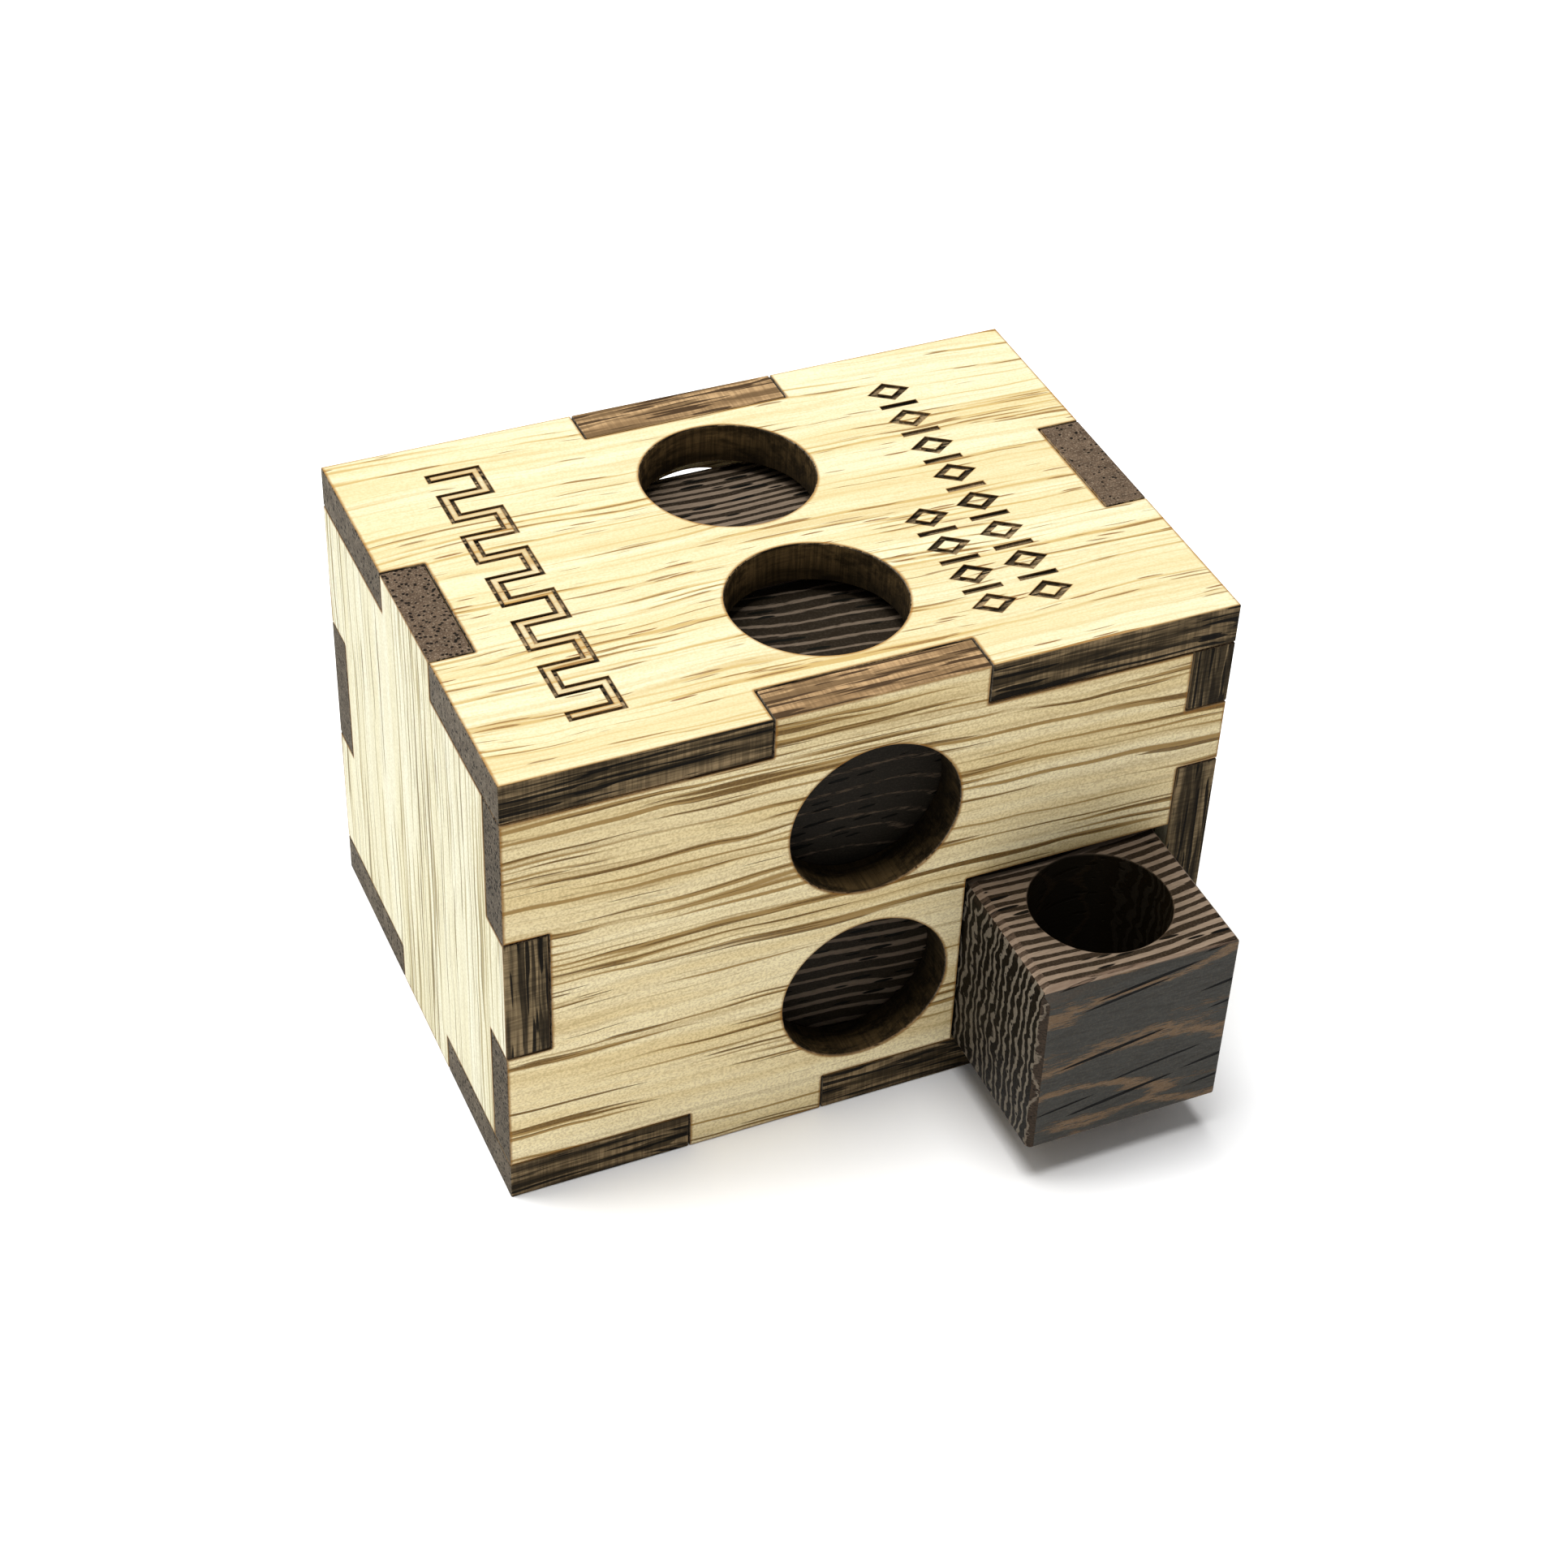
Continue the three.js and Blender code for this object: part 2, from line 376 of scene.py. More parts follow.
def engraved_line(path, half_width, closed=False):
    """Loops of one engraved line, each with the loop where its scorch ends."""
    grooves = stroke(path, half_width, closed)
    halos = stroke(path, half_width + BURR, closed)
    return [(halo, groove, 0.0) for halo, groove in zip(halos, grooves)]


def outlined_band(path, half_band):
    """A band drawn by its outline only, as two loops a line's width apart."""
    outer = stroke(path, half_band + LINE)[0]
    inner = stroke(path, half_band - LINE)[0]
    outer_halo = stroke(path, half_band + LINE + BURR)[0]
    inner_halo = stroke(path, half_band - LINE - BURR)[0]
    return [(outer_halo, outer, 0.0), (inner_halo, inner, BAND_TINT)]


def top_ornament():
    """A plain geometric border: a crenellated band on the left, and on the right two columns of
    lozenges and bars."""
    left, start, pitch, depth = -20.1 * MM, -14.1 * MM, 5.28 * MM, 3.1 * MM
    path = []
    for k in range(6):
        y = start + k * pitch
        path += [
            Vector((left, y)), Vector((left + depth, y)),
            Vector((left + depth, y + pitch / 2)), Vector((left, y + pitch / 2)),
        ]
    engraving = outlined_band(path, 0.36 * MM)
    # Each column is its x, its first and last y and how many gaps it has.
    columns = ((15.55 * MM, -12.9 * MM, 13.9 * MM, 14), (11.2 * MM, -12.9 * MM, -2.0 * MM, 6))
    w, h = 1.3 * MM, 0.9 * MM  # half a lozenge's length and width
    half_bar = 1.25 * MM
    for x, first, last, count in columns:
        for k in range(count + 1):
            y = first + k * (last - first) / count
            if k % 2:
                bar = [Vector((x - half_bar, y)), Vector((x + half_bar, y))]
                engraving += engraved_line(bar, 0.25 * MM)
            else:
                points = ((x + w, y), (x, y + h), (x - w, y), (x, y - h))
                lozenge = [Vector(p) for p in points]
                engraving += engraved_line(lozenge, 0.24 * MM, closed=True)
    return engraving


def make_panels(materials):
    lying_holes = [(0, -CELL / 2), (0, CELL / 2)]
    standing_holes = [(0, SHEET + CELL / 2), (0, SHEET + 1.5 * CELL)]
    places = {
        "top_panel": (lying_holes, axes(X, Y, Z, (0, 0, HEIGHT - SHEET)), False),
        "bottom_panel": (lying_holes, axes(X, Y, Z, (0, 0, 0)), True),
        "front_panel": (standing_holes, axes(X, Z, -Y, (0, SHEET - HALF_Y, 0)), False),
        "back_panel": (standing_holes, axes(X, Z, -Y, (0, HALF_Y, 0)), True),
        "left_panel": ([], axes(Y, Z, X, (-HALF_X, 0, 0)), True),
        "right_panel": ([], axes(Y, Z, X, (HALF_X - SHEET, 0, 0)), False),
    }
    for node, sides in outline_sets().items():
        engraving = top_ornament() if node == "top_panel" else ()
        piece = build_panel(f"{node}_wood", panel_outline(**sides), *places[node], engraving)
        piece.data.materials.append(materials[node])
        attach(piece, "box")
        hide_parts(node)


# ---------------------------------------------------------------- wenge cubes


CUBE_ROUNDING = 0.25 * MM
ROUND_STEPS = 6
PANEL_SHARP = 35  # edges that turn by more degrees than this are shaded sharp
CUBE_SHARP = 20

# Handling has worn the key's front cube, one flat cut for each row here, in mm. At the upper left
# edge a row is how far the cut goes in along the top and down the side. At the upper front edge it
# is how far down the front at the left and right ends, and how far back along the top at the left.
UPPER_LEFT_WEAR = ((0.3, 0.85), (0.8, 0.35))
UPPER_FRONT_WEAR = ((1.3, 0.25, 0.52), (0.6, 0.1, 0.9))
# The upright edge at the front left is cut once: how far back, and which way the cut faces.
FRONT_LEFT_WEAR = 0.45
FRONT_LEFT_NORMAL = Vector((-0.66, -0.75, 0))


def build_cube(name, low, high, drilled):
    """A sanded cube: rounded edges all round, and for the key's front cube a blind round hole."""
    centre = (low + high) / 2
    half = (high.x - low.x) / 2
    side = 2 * half
    square = [Vector(p) for p in ((-half, -half), (half, -half), (half, half), (-half, half))]
    slab = Slab(Matrix.Translation((centre.x, centre.y, low.z)))
    levels = []
    for i in range(ROUND_STEPS + 1):
        a = math.pi / 2 * i / ROUND_STEPS
        levels.append((CUBE_ROUNDING * (1 - math.sin(a)), CUBE_ROUNDING * (1 - math.cos(a))))
    levels += [(inset, side - w) for inset, w in reversed(levels)]
    rings = []
    for inset, w in levels:
        rings.append(slab.ring(inset_loop(square, inset, CUBE_ROUNDING, ROUND_STEPS), w, 0))
    for lower, upper in zip(rings, rings[1:]):
        slab.join(lower, upper)
    slab.fill([rings[0]], 0, lambda p: True)
    if drilled:
        drill(slab, rings[-1], side)
        wear(slab, low, high)
    else:
        slab.fill([rings[-1]], side, lambda p: True)
    return slab.finish(name, CUBE_SHARP)


def wear(slab, low, high):
    """Flat cuts along the three edges that meet at the cube's upper, front, left corner."""
    left = Vector((low.x, low.y, high.z))
    right = Vector((high.x, low.y, high.z))
    for inwards, down in UPPER_LEFT_WEAR:
        slab.cut(left - Z * down * MM, Vector((-down, 0, inwards)))
    for at_left, at_right, above in UPPER_FRONT_WEAR:
        near = left - Z * at_left * MM
        far = right - Z * at_right * MM
        top = left + Y * above * MM
        slab.cut(near, (far - near).cross(top - near))
    slab.cut(left + Y * FRONT_LEFT_WEAR * MM, FRONT_LEFT_NORMAL)


def drill(slab, top_ring, side):
    """A round blind hole in the top, with a slightly broken edge and a soft corner at its bed."""
    rim, fillet = KEY_HOLE_RIM, KEY_HOLE_FILLET
    bed = side - KEY_HOLE_DEPTH
    # For this hole the scorch values darken the wall towards near black, as painted shade deep in
    # the hole.
    profile = [  # radius beyond the hole's own, height, scorch
        (rim, side, 0.3), (0.3 * rim, side - 0.3 * rim, 0.7), (0, side - rim, 1.0),
        (0, bed + fillet, 1.0), (-0.3 * fillet, bed + 0.3 * fillet, 1.0), (-fillet, bed, 1.0),
    ]
    hole = []
    for grow, w, scorch in profile:
        hole.append(slab.ring(circle(KEY_HOLE_CENTRE, KEY_HOLE_RADIUS + grow), w, scorch))
    for lower, upper in zip(hole, hole[1:]):
        slab.join(lower, upper)
    mouth = circle(KEY_HOLE_CENTRE, KEY_HOLE_RADIUS + rim)
    slab.fill([top_ring, hole[0]], side, lambda p: not inside(p, mouth))
    slab.fill([hole[-1]], bed, lambda p: True)


def make_cubes(materials):
    slots = {s["node"]: s["material_slot"] for s in frame["record"]["subparts"]}
    bodies = frame["record"]["behaviour"]["bodies"]
    for body, nodes in bodies.items():
        for node in nodes:
            if slots[node] != "wenge":
                continue
            low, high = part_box(node)
            cube = build_cube(f"{node}_wood", low, high, node == "key_front_block")
            cube.data.materials.append(materials[node])
            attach(cube, body)
            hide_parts(node)


# ---------------------------------------------------------------- materials


def srgb(red, green, blue):
    """A colour given as 0 to 255 screen values, in the linear values that shaders take."""

    def linear(c):
        c /= 255
        return c / 12.92 if c <= 0.04045 else ((c + 0.055) / 1.055) ** 2.4

    return (linear(red), linear(green), linear(blue), 1.0)


class Graph:
    """Short names for the shader nodes used here. Positions are object coordinates in mm."""

    def __init__(self, name):
        self.material = bpy.data.materials.new(name)
        self.material.use_nodes = True
        self.nodes = self.material.node_tree.nodes
        self.links = self.material.node_tree.links
        self.shader = self.nodes["Principled BSDF"]

    def put(self, socket, value):
        """Links a socket to another node's, or sets it to a constant, or leaves it for None."""
        if isinstance(value, bpy.types.NodeSocket):
            self.links.new(value, socket)
        elif value is not None:
            socket.default_value = value

    def math(self, operation, a, b=None):
        node = self.nodes.new("ShaderNodeMath")
        node.operation = operation
        for socket, value in zip(node.inputs, (a, b)):
            self.put(socket, value)
        return node.outputs[0]

    def add(self, a, b):
        return self.math("ADD", a, b)

    def sub(self, a, b):
        return self.math("SUBTRACT", a, b)

    def mul(self, a, b):
        return self.math("MULTIPLY", a, b)

    def coordinates(self, kind):
        coords = self.nodes.new("ShaderNodeTexCoord")
        split = self.nodes.new("ShaderNodeSeparateXYZ")
        self.links.new(coords.outputs[kind], split.inputs[0])
        return [split.outputs[i] for i in range(3)]

    def position(self):
        """Object coordinates in millimetres, as three values."""
        return [self.mul(part, 1 / MM) for part in self.coordinates("Object")]

    def normal(self):
        """The direction that the surface faces in the object's own axes, as three values."""
        return self.coordinates("Normal")

    def facing(self):
        """How much the surface faces along each axis, either way, each from 0 to 1."""
        return [self.math("ABSOLUTE", part) for part in self.normal()]

    def vector(self, x, y, z):
        node = self.nodes.new("ShaderNodeCombineXYZ")
        for socket, value in zip(node.inputs, (x, y, z)):
            self.put(socket, value)
        return node.outputs[0]

    def noise(self, x, y, z, detail=2.0, roughness=0.5, seed=0.0):
        """Noise from about 0.3 to 0.7 at places given in periods."""
        node = self.nodes.new("ShaderNodeTexNoise")
        node.noise_dimensions = "4D"
        self.put(node.inputs["Vector"], self.vector(x, y, z))
        node.inputs["W"].default_value = seed
        node.inputs["Scale"].default_value = 1.0
        node.inputs["Detail"].default_value = detail
        node.inputs["Roughness"].default_value = roughness
        return node.outputs["Fac"]

    def cells(self, x, y, z):
        """Distance to scattered points, in periods, and a random value for each point."""
        node = self.nodes.new("ShaderNodeTexVoronoi")
        self.put(node.inputs["Vector"], self.vector(x, y, z))
        node.inputs["Scale"].default_value = 1.0
        split = self.nodes.new("ShaderNodeSeparateXYZ")
        self.links.new(node.outputs["Color"], split.inputs[0])
        return node.outputs["Distance"], split.outputs[0]

    def step(self, value, low, high, out_low=0.0, out_high=1.0):
        """Rises smoothly from out_low to out_high as the value goes from low to high."""
        node = self.nodes.new("ShaderNodeMapRange")
        node.interpolation_type = "SMOOTHSTEP"
        for name, item in (
            ("Value", value), ("From Min", low), ("From Max", high),
            ("To Min", out_low), ("To Max", out_high),
        ):
            self.put(node.inputs[name], item)
        return node.outputs[0]

    def mix(self, factor, a, b):
        """Colour a where the factor is 0 and colour b where it is 1."""
        node = self.nodes.new("ShaderNodeMix")
        node.data_type = "RGBA"
        for name, value in (("Factor_Float", factor), ("A_Color", a), ("B_Color", b)):
            socket = next(s for s in node.inputs if s.identifier == name)
            self.put(socket, value)
        return next(s for s in node.outputs if s.identifier == "Result_Color")

    def attribute(self, name):
        node = self.nodes.new("ShaderNodeAttribute")
        node.attribute_name = name
        return node.outputs["Fac"]

    def bump(self, height, distance, strength):
        node = self.nodes.new("ShaderNodeBump")
        node.inputs["Distance"].default_value = distance
        node.inputs["Strength"].default_value = strength
        self.put(node.inputs["Height"], height)
        return node.outputs[0]

    def finish(self, color, roughness, normal, specular):
        self.put(self.shader.inputs["Base Color"], color)
        self.put(self.shader.inputs["Roughness"], roughness)
        self.put(self.shader.inputs["Normal"], normal)
        self.shader.inputs["Specular IOR Level"].default_value = specular
        return self.material


# Colours that every sheet shares.
EDGE_GRIT = srgb(52, 44, 35)
EDGE_RIB = srgb(48, 40, 32)
EDGE_SPECK = srgb(136, 122, 104)
SOOT_RIB = srgb(34, 26, 14)
SOOT_SPECK = srgb(104, 86, 60)
# The next colour is painted shade for the right-hand side of a finger hole's wall.
RIGHT_WALL_SHADE = srgb(22, 17, 8)
CHAR = srgb(14, 10, 6)
TOAST = srgb(142, 98, 40)
SHEET_SPECULAR = 0.08


def sheet_wood(name, order, seed, look):
    """Pale open-grained wood. order picks the axes along the grain, across it on the face, and
    through the sheet. Streaks are long soft lines, with thin dark flecks along their middles, and
    they crowd together in zones."""
    g = Graph(name)
    place = g.position()
    along, across, through = (place[i] for i in order)
    end_grain = g.step(g.facing()[order[0]], 0.5, 0.85)
    along = g.add(along, seed * 17.0)
    # The grain wanders slowly from side to side.
    wander = g.noise(g.mul(along, 0.028), g.mul(across, 0.07), g.mul(through, 0.1), 1.0, 0.5, seed)
    ripple = g.noise(g.mul(along, 0.13), g.mul(across, 0.35), g.mul(through, 0.35), 1.0, 0.5, seed)
    lean = g.mul(along, look["lean"])
    r = g.add(g.add(across, lean), g.add(g.mul(wander, look["wander"]), g.mul(ripple, 0.8)))
    t = g.add(through, g.mul(wander, 1.5))

    def grain(run, pitch, detail, roughness, offset):
        """Noise drawn out along the grain: run and pitch are its periods in mm."""
        return g.noise(
            g.mul(along, 1 / run), g.mul(r, 1 / pitch), g.mul(t, 1 / pitch), detail, roughness,
            seed + offset,
        )

    zone = grain(70, look["zone_pitch"], 1.0, 0.5, 3)
    tone = grain(60, 2.2, 3.0, 0.6, 5)
    band = grain(look["streak_run"] * 1.6, look["band_pitch"], 2.0, 0.55, 6)
    streak = grain(look["streak_run"], look["streak_pitch"], 0.6, 0.4, 7)
    fleck = grain(look["fleck_run"], look["fleck_pitch"], 0.6, 0.4, 9)
    fine = grain(2.2, 0.1, 2.0, 0.6, 11)
    speck = grain(0.2, 0.15, 1.0, 0.5, 13)
    pore, pick = g.cells(g.mul(along, 0.2), g.mul(r, 2.6), g.mul(t, 2.6))

    middle = g.step(g.math("ABSOLUTE", across), look["middle"], 0.0, 0.0, 0.2)
    crowd = g.step(g.add(zone, middle), 0.42, 0.6)
    color = g.mix(g.step(tone, 0.34, 0.66), look["light"], look["deep"])
    color = g.mix(g.step(band, 0.5, 0.68, 0.0, look["band"]), color, look["streak"])
    near = g.sub(streak, g.sub(look["streak_cut"], g.mul(crowd, look["crowding"])))
    streaks = g.step(near, -0.02, look["streak_soft"])
    color = g.mix(g.mul(streaks, look["streak_strength"]), color, look["streak"])
    dark = g.sub(g.add(fleck, g.mul(near, 0.9)), look["fleck_cut"])
    flecks = g.step(dark, 0.0, 0.05)
    color = g.mix(g.mul(flecks, look["fleck_strength"]), color, look["fleck"])
    open_pores = g.mul(g.step(pore, 0.25, 0.19), g.step(g.add(pick, g.mul(crowd, 0.4)), 1.0, 1.1))
    color = g.mix(g.mul(open_pores, look["pore_strength"]), color, look["pore"])
    color = g.mix(g.step(fine, 0.4, 0.7, 0.0, look["fine"]), color, look["streak"])
    color = g.mix(g.step(speck, 0.4, 0.65, 0.0, look["speckle"]), color, look["streak"])

    # A cut edge is brown with black streaks where it runs with the grain, and greyer with black
    # pores where it cuts the grain; the cut leaves fine lines through the sheet.
    ribs = g.noise(g.mul(along, 4.5), g.mul(across, 4.5), g.mul(through, 0.2), 2.0, 0.6, seed + 15)
    rib = g.step(ribs, 0.38, 0.62)
    burnt = grain(14, 0.9, 3.0, 0.65, 17)
    line = grain(13, 0.5, 1.0, 0.5, 19)
    crack = grain(8, 0.3, 0.6, 0.5, 21)
    long_edge = g.mix(g.step(burnt, 0.4, 0.62), look["edge_dark"], look["edge_light"])
    long_edge = g.mix(g.mul(rib, 0.4), long_edge, look["edge_streak"])
    long_edge = g.mix(g.step(line, 0.53, 0.58, 0.0, 0.8), long_edge, look["edge_streak"])
    long_edge = g.mix(g.step(crack, 0.57, 0.6, 0.0, 0.95), long_edge, look["crack"])
    end_edge = g.mix(g.step(burnt, 0.3, 0.7), look["end_dark"], look["end_light"])
    end_edge = g.mix(g.step(fine, 0.35, 0.65, 0.0, 0.6), end_edge, EDGE_GRIT)
    end_edge = g.mix(g.mul(rib, 0.3), end_edge, EDGE_RIB)
    end_edge = g.mix(g.step(speck, 0.5, 0.7, 0.0, 0.5), end_edge, EDGE_SPECK)
    holes = g.mul(g.step(pore, 0.36, 0.29), g.step(pick, 0.3, 0.35, 0.0, 0.95))
    end_edge = g.mix(holes, end_edge, CHAR)
    edge = g.mix(end_grain, long_edge, end_edge)
    scorch = g.attribute("scorch")
    sooty = g.mix(g.step(burnt, 0.38, 0.62), look["soot_dark"], look["soot_light"])
    sooty = g.mix(g.mul(rib, 0.5), sooty, SOOT_RIB)
    sooty = g.mix(g.step(speck, 0.5, 0.7, 0.0, 0.3), sooty, SOOT_SPECK)
    # Painted shade: the wall darkens towards its inner end, deep in the hole, over the soot.
    sooty = g.mix(g.step(scorch, SOOT, DEEP_SOOT_AND_SHADE, 0.0, 0.75), sooty, CHAR)
    # Painted shade: the right-hand side of a hole, which faces left, is painted darker, as shade.
    right_wall_shade = g.sub(1.0, g.step(g.normal()[0], -0.95, -0.2))
    sooty = g.mix(g.mul(right_wall_shade, 0.6), sooty, RIGHT_WALL_SHADE)
    edge = g.mix(g.step(scorch, 1.0, SOOT), edge, sooty)
    toasted = g.step(g.add(scorch, g.mul(g.sub(tone, 0.5), 0.6)), 0.15, 0.8)
    color = g.mix(g.mul(toasted, 0.8), color, TOAST)
    wall = g.step(scorch, 0.72, 0.95)
    color = g.mix(wall, color, edge)

    marks = g.add(g.mul(open_pores, 0.9), g.mul(flecks, 0.5))
    height = g.sub(g.mul(fine, 0.3), g.add(marks, g.mul(g.mul(wall, rib), 0.6)))
    roughness = g.step(wall, 0.0, 1.0, 0.6, 0.8)
    return g.finish(color, roughness, g.bump(height, 0.05 * MM, 0.5), SHEET_SPECULAR)


# A look is a set of colours and strengths. run and pitch are lengths along and across the grain in
# mm, and a cut is the level that the noise has to reach, so that a higher one leaves fewer marks.
# lean and wander bend the grain, and middle is how far from the sheet's middle the streaks crowd.
TOP_SOOT = dict(soot_dark=srgb(76, 60, 36), soot_light=srgb(144, 116, 74))
FRONT_SOOT = dict(soot_dark=srgb(38, 30, 17), soot_light=srgb(100, 80, 49))
DARK_EDGE = dict(
    TOP_SOOT,
    end_dark=srgb(84, 77, 66), end_light=srgb(122, 113, 98),
    edge_dark=srgb(62, 51, 34), edge_light=srgb(148, 126, 93), edge_streak=srgb(27, 21, 11),
    crack=srgb(12, 9, 5),
)
BROWN_EDGE = dict(
    FRONT_SOOT,
    edge_dark=srgb(62, 52, 36), edge_light=srgb(144, 124, 92), edge_streak=srgb(27, 21, 12),
    crack=srgb(12, 9, 5),
    end_dark=srgb(78, 62, 48), end_light=srgb(106, 88, 71),
)
TOASTED_EDGE = dict(
    FRONT_SOOT,
    end_dark=srgb(72, 66, 55), end_light=srgb(102, 94, 81),
    edge_dark=srgb(122, 97, 67), edge_light=srgb(169, 139, 101), edge_streak=srgb(90, 70, 46),
    crack=srgb(58, 42, 26),
)
TOP_LOOK = dict(
    DARK_EDGE, lean=0.02, wander=4.0, zone_pitch=6.5, middle=0.001, crowding=0.07,
    light=srgb(203, 200, 168), deep=srgb(196, 184, 142),
    streak=srgb(170, 142, 84), streak_run=28, streak_pitch=0.36, streak_cut=0.61,
    streak_soft=0.12, streak_strength=0.8, band=0.3, band_pitch=0.4,
    fleck=srgb(104, 66, 32), fleck_run=4.5, fleck_pitch=0.21, fleck_cut=0.65, fleck_strength=0.75,
    pore=srgb(110, 64, 30), pore_strength=0.9, fine=0.2, speckle=0.2,
)
FRONT_LOOK = dict(
    TOASTED_EDGE, lean=0.03, wander=2.0, zone_pitch=5.0, middle=0.001, crowding=0.1,
    light=srgb(249, 235, 192), deep=srgb(234, 213, 160),
    streak=srgb(156, 124, 69), streak_run=32, streak_pitch=0.42, streak_cut=0.64,
    streak_soft=0.07, streak_strength=0.92, band=0.3, band_pitch=0.5,
    fleck=srgb(98, 73, 38), fleck_run=12, fleck_pitch=0.22, fleck_cut=0.605, fleck_strength=0.9,
    pore=srgb(80, 58, 32), pore_strength=0.2, fine=0.16, speckle=0.32,
)
SIDE_LOOK = dict(
    BROWN_EDGE, lean=0.0, wander=1.4, zone_pitch=12.0, middle=8.0, crowding=0.1,
    light=srgb(227, 225, 203), deep=srgb(218, 213, 182),
    streak=srgb(158, 144, 100), streak_run=40, streak_pitch=0.25, streak_cut=0.63,
    streak_soft=0.04, streak_strength=0.85, band=0.12, band_pitch=0.4,
    fleck=srgb(104, 90, 58), fleck_run=15, fleck_pitch=0.22, fleck_cut=0.62, fleck_strength=0.8,
    pore=srgb(84, 68, 44), pore_strength=0.3, fine=0.18, speckle=0.22,
)


def panel_materials():
    lying, facing, side = (0, 1, 2), (0, 2, 1), (2, 1, 0)
    return {
        "top_panel": sheet_wood("top_sheet_wood", lying, 1.0, TOP_LOOK),
        "bottom_panel": sheet_wood("bottom_sheet_wood", lying, 2.0, TOP_LOOK),
        "front_panel": sheet_wood("front_sheet_wood", facing, 3.0, FRONT_LOOK),
        "back_panel": sheet_wood("back_sheet_wood", facing, 4.0, FRONT_LOOK),
        "left_panel": sheet_wood("left_sheet_wood", side, 5.0, SIDE_LOOK),
        "right_panel": sheet_wood("right_sheet_wood", side, 6.0, SIDE_LOOK),
    }


STRIPE_DARK, STRIPE_PALE = srgb(40, 30, 20), srgb(130, 113, 96)
# The dark of the patches is painted lighter and greyer than the stripes' dark: a painted sheen on a
# face cut along the layers.
PATCH_DARK_AND_SHEEN, PATCH_PALE = srgb(63, 62, 58), srgb(118, 96, 73)
WAVE_DARK, WAVE_PALE = srgb(18, 14, 7), srgb(114, 106, 93)
WENGE_GRIT = srgb(34, 28, 22)
WENGE_SPECK = srgb(134, 120, 104)
WENGE_VESSEL = srgb(6, 5, 4)
WENGE_WORN = srgb(116, 96, 80)
# The next colour is painted shade, for the cubes that sit in the shade inside the box.
WENGE_PAINTED_SHADE = srgb(17, 17, 12)
# The next colour is painted shade for the walls of the key's deep drilled hole.
WENGE_HOLE_SHADE = srgb(32, 25, 14)
WENGE_SPECULAR = 0.05


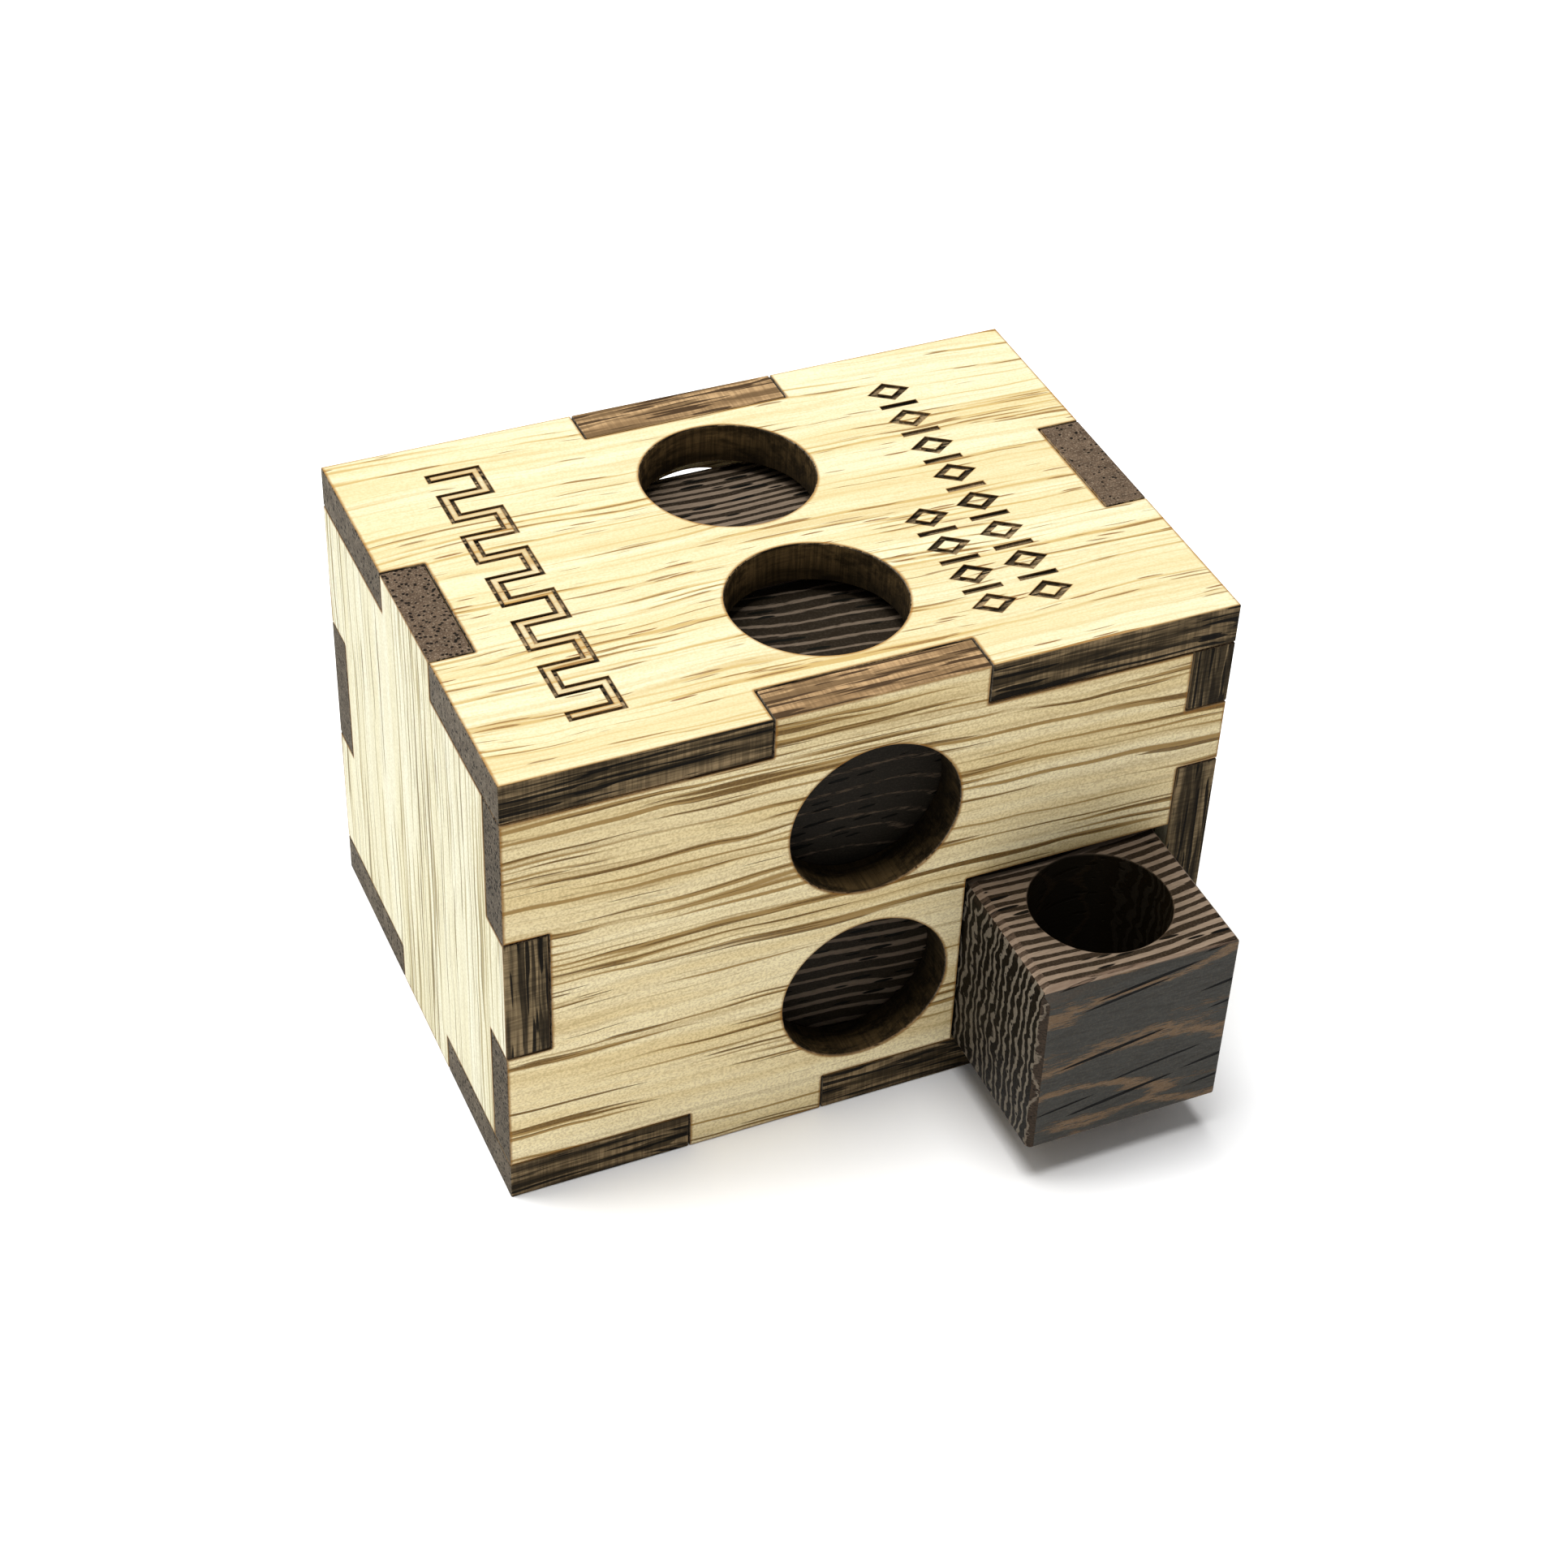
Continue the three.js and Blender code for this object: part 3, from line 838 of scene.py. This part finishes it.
def wenge(name, ring_axis, seed, slant=0.0, pitch=0.9, pale_share=0.0, painted_shade=0.0, tilt=0.0):
    """Wenge: thin pale and dark layers stacked along one axis, so a face cut across them is
    striped, a face cut along them shows wide patches, whose dark is painted lighter and greyer as
    a painted sheen, and end grain shows wavy lines. slant turns the layers along the grain and tilt
    turns them about it. pitch is their distance in mm, pale_share widens the pale ones, and shade
    is painted shade that darkens the whole cube, for cubes that sit in the shade inside the box."""
    g = Graph(name)
    x, y, z = g.position()
    facing = g.facing()
    along = g.add(x, seed * 11.0)
    across, other = (y, z) if ring_axis == "y" else (z, y)
    flat = g.step(facing[1] if ring_axis == "y" else facing[2], 0.6, 0.9, 0.0, 1 - tilt)
    end_grain = g.step(facing[0], 0.45, 0.7)
    across = g.add(g.add(across, g.mul(x, slant)), g.mul(other, tilt))
    bend = g.noise(g.mul(along, 0.05), g.mul(across, 0.05), g.mul(other, 0.15), 1.5, 0.5, seed)
    wave = g.noise(g.mul(along, 0.03), g.mul(across, 0.8), g.mul(other, 0.65), 2.0, 0.5, seed + 2)
    waviness = g.sub(g.add(g.mul(end_grain, 1.3), 0.9), g.mul(flat, 0.2))
    rings = g.add(g.mul(across, 1 / pitch), g.add(g.mul(bend, 4.0), g.mul(wave, waviness)))
    layer = g.math("SINE", g.mul(rings, 2 * math.pi))
    grit = g.noise(g.mul(along, 0.9), g.mul(across, 7.0), g.mul(other, 7.0), 3.0, 0.6, seed + 4)
    speck = g.noise(g.mul(along, 7.0), g.mul(across, 7.0), g.mul(other, 7.0), 1.0, 0.5, seed + 5)
    turned_away = g.add(g.mul(flat, 0.85), g.mul(end_grain, 0.35))
    level = g.sub(g.add(layer, g.mul(g.sub(grit, 0.5), 1.7)), turned_away)
    pale = g.step(level, -0.05 - pale_share, 0.3 - pale_share)
    striped = g.mix(pale, STRIPE_DARK, STRIPE_PALE)
    # Painted sheen: the patches' dark colour carries a grey sheen painted into it.
    patches_and_sheen = g.mix(pale, PATCH_DARK_AND_SHEEN, PATCH_PALE)
    wavy = g.mix(pale, WAVE_DARK, WAVE_PALE)
    color = g.mix(end_grain, g.mix(flat, striped, patches_and_sheen), wavy)
    # Vessels: long thin black lines that climb a little along the grain.
    climbed = g.sub(other, g.mul(along, 0.15))
    vessel, pick = g.cells(g.mul(along, 0.07), g.mul(across, 1.9), g.mul(climbed, 1.9))
    vessels = g.mul(g.step(vessel, 0.32, 0.26), g.step(pick, 0.4, 0.45))
    color = g.mix(g.step(grit, 0.4, 0.75, 0.0, 0.35), color, WENGE_GRIT)
    lit_share = g.sub(g.add(g.mul(pale, 0.6), 0.4), g.mul(end_grain, 0.3))
    lit = g.mul(g.step(speck, 0.45, 0.7, 0.0, 0.2), lit_share)
    color = g.mix(lit, color, WENGE_SPECK)
    color = g.mix(vessels, color, WENGE_VESSEL)
    # Sanded edges are worn pale.
    flattest = g.math("MAXIMUM", facing[0], g.math("MAXIMUM", facing[1], facing[2]))
    upward = g.step(facing[2], 0.0, 0.4, 0.3, 1.0)
    worn = g.mul(g.step(flattest, 0.97, 0.85), g.step(grit, 0.35, 0.6, 0.2, 0.75))
    color = g.mix(g.mul(worn, upward), color, WENGE_WORN)
    # Painted shade: cubes that sit in the shade inside the box are darkened all over.
    color = g.mix(painted_shade, color, WENGE_PAINTED_SHADE)
    # Painted shade: the walls of the key's deep drilled hole are painted near black.
    wall = g.attribute("scorch")
    color = g.mix(g.mul(wall, 0.88), color, WENGE_HOLE_SHADE)
    height = g.sub(g.mul(pale, 0.6), g.add(g.mul(vessels, 1.2), g.mul(grit, 0.4)))
    roughness = g.step(grit, 0.3, 0.7, 0.42, 0.62)
    return g.finish(color, roughness, g.bump(height, 0.09 * MM, 0.8), WENGE_SPECULAR)


def cube_materials():
    # The shade given to the cubes inside the box is painted shade.
    return {
        "key_front_block": wenge("key_front_wenge", "y", 1.0, pitch=0.84, pale_share=0.12),
        "key_corner_block": wenge("key_corner_wenge", "y", 2.0),
        "key_side_block": wenge(
            "key_side_wenge", "z", 3.0, slant=0.08, pitch=1.2, pale_share=-0.38, painted_shade=0.54
        ),
        "upper_front_middle_block": wenge(
            "upper_front_middle_wenge", "y", 4.0,
            slant=0.12, pitch=1.15, pale_share=-0.6, painted_shade=0.52, tilt=0.7,
        ),
        "upper_front_left_block": wenge("upper_front_left_wenge", "z", 5.0),
        "upper_back_middle_block": wenge(
            "upper_back_middle_wenge", "y", 6.0, pitch=0.8, pale_share=0.25, painted_shade=0.36
        ),
        "upper_back_left_block": wenge("upper_back_left_wenge", "z", 7.0),
        "corner_front_block": wenge("corner_front_wenge", "y", 8.0),
        "corner_back_block": wenge("corner_back_wenge", "z", 9.0),
    }


# ---------------------------------------------------------------- floor, light and camera


FLOOR_REACH = 1.5


def make_floor():
    mesh = bpy.data.meshes.new("studio_floor")
    far = FLOOR_REACH
    corners = [(-far, -far, 0), (far, -far, 0), (far, far, 0), (-far, far, 0)]
    mesh.from_pydata(corners, [], [(0, 1, 2, 3)])
    floor = bpy.data.objects.new("studio_floor", mesh)
    bpy.context.scene.collection.objects.link(floor)
    g = Graph("studio_paper")
    x, y, _ = g.position()
    tone = g.noise(g.mul(x, 0.02), g.mul(y, 0.02), 0.0)
    color = g.mix(tone, (0.93, 0.93, 0.93, 1), (0.95, 0.95, 0.95, 1))
    mesh.materials.append(g.finish(color, roughness=0.9, normal=None, specular=0.0))


def area_light(name, location, target, size, power):
    data = bpy.data.lights.new(name, "AREA")
    data.shape = "DISK"
    data.size = size
    data.energy = power
    light = bpy.data.objects.new(name, data)
    light.location = location
    light.rotation_euler = (Vector(target) - Vector(location)).to_track_quat("-Z", "Y").to_euler()
    bpy.context.scene.collection.objects.link(light)


AMBIENT = 0.27


def make_light():
    world = bpy.data.worlds.new("studio")
    bpy.context.scene.world = world
    world.use_nodes = True
    background = world.node_tree.nodes["Background"]
    background.inputs["Color"].default_value = (1.0, 1.0, 1.0, 1)
    background.inputs["Strength"].default_value = AMBIENT
    middle = (0, 0, HEIGHT / 2)
    area_light("top_softbox", (-0.05, 0.05, 0.80), middle, size=0.5, power=8.0)
    area_light("side_softbox", (-0.40, 0.30, 0.60), middle, size=0.5, power=3.8)


CAMERA_TARGET = Vector((0.7, -2.4, 17.0)) * MM
CAMERA_DISTANCE = 229.4 * MM
CAMERA_AZIMUTH = math.radians(-25.0)
CAMERA_ELEVATION = math.radians(40.1)
CAMERA_ROLL = math.radians(2.5)
CAMERA_LENS = 70.5
SENSOR = 36


def make_camera():
    data = bpy.data.cameras.new("camera")
    data.lens = CAMERA_LENS
    data.sensor_width = SENSOR
    data.clip_start = 0.01
    data.clip_end = 10
    camera = bpy.data.objects.new("camera", data)
    bpy.context.scene.collection.objects.link(camera)
    forward = Vector((
        -math.sin(CAMERA_AZIMUTH) * math.cos(CAMERA_ELEVATION),
        math.cos(CAMERA_AZIMUTH) * math.cos(CAMERA_ELEVATION),
        -math.sin(CAMERA_ELEVATION),
    ))
    facing = forward.to_track_quat("-Z", "Y").to_matrix().to_4x4()
    roll = Matrix.Rotation(CAMERA_ROLL, 4, "Z")
    place = Matrix.Translation(CAMERA_TARGET - forward * CAMERA_DISTANCE)
    camera.matrix_world = place @ facing @ roll
    bpy.context.scene.camera = camera


# ---------------------------------------------------------------- the scene

make_panels(panel_materials())
make_cubes(cube_materials())
make_floor()
make_light()
make_camera()
bpy.context.scene.view_settings.view_transform = "Standard"
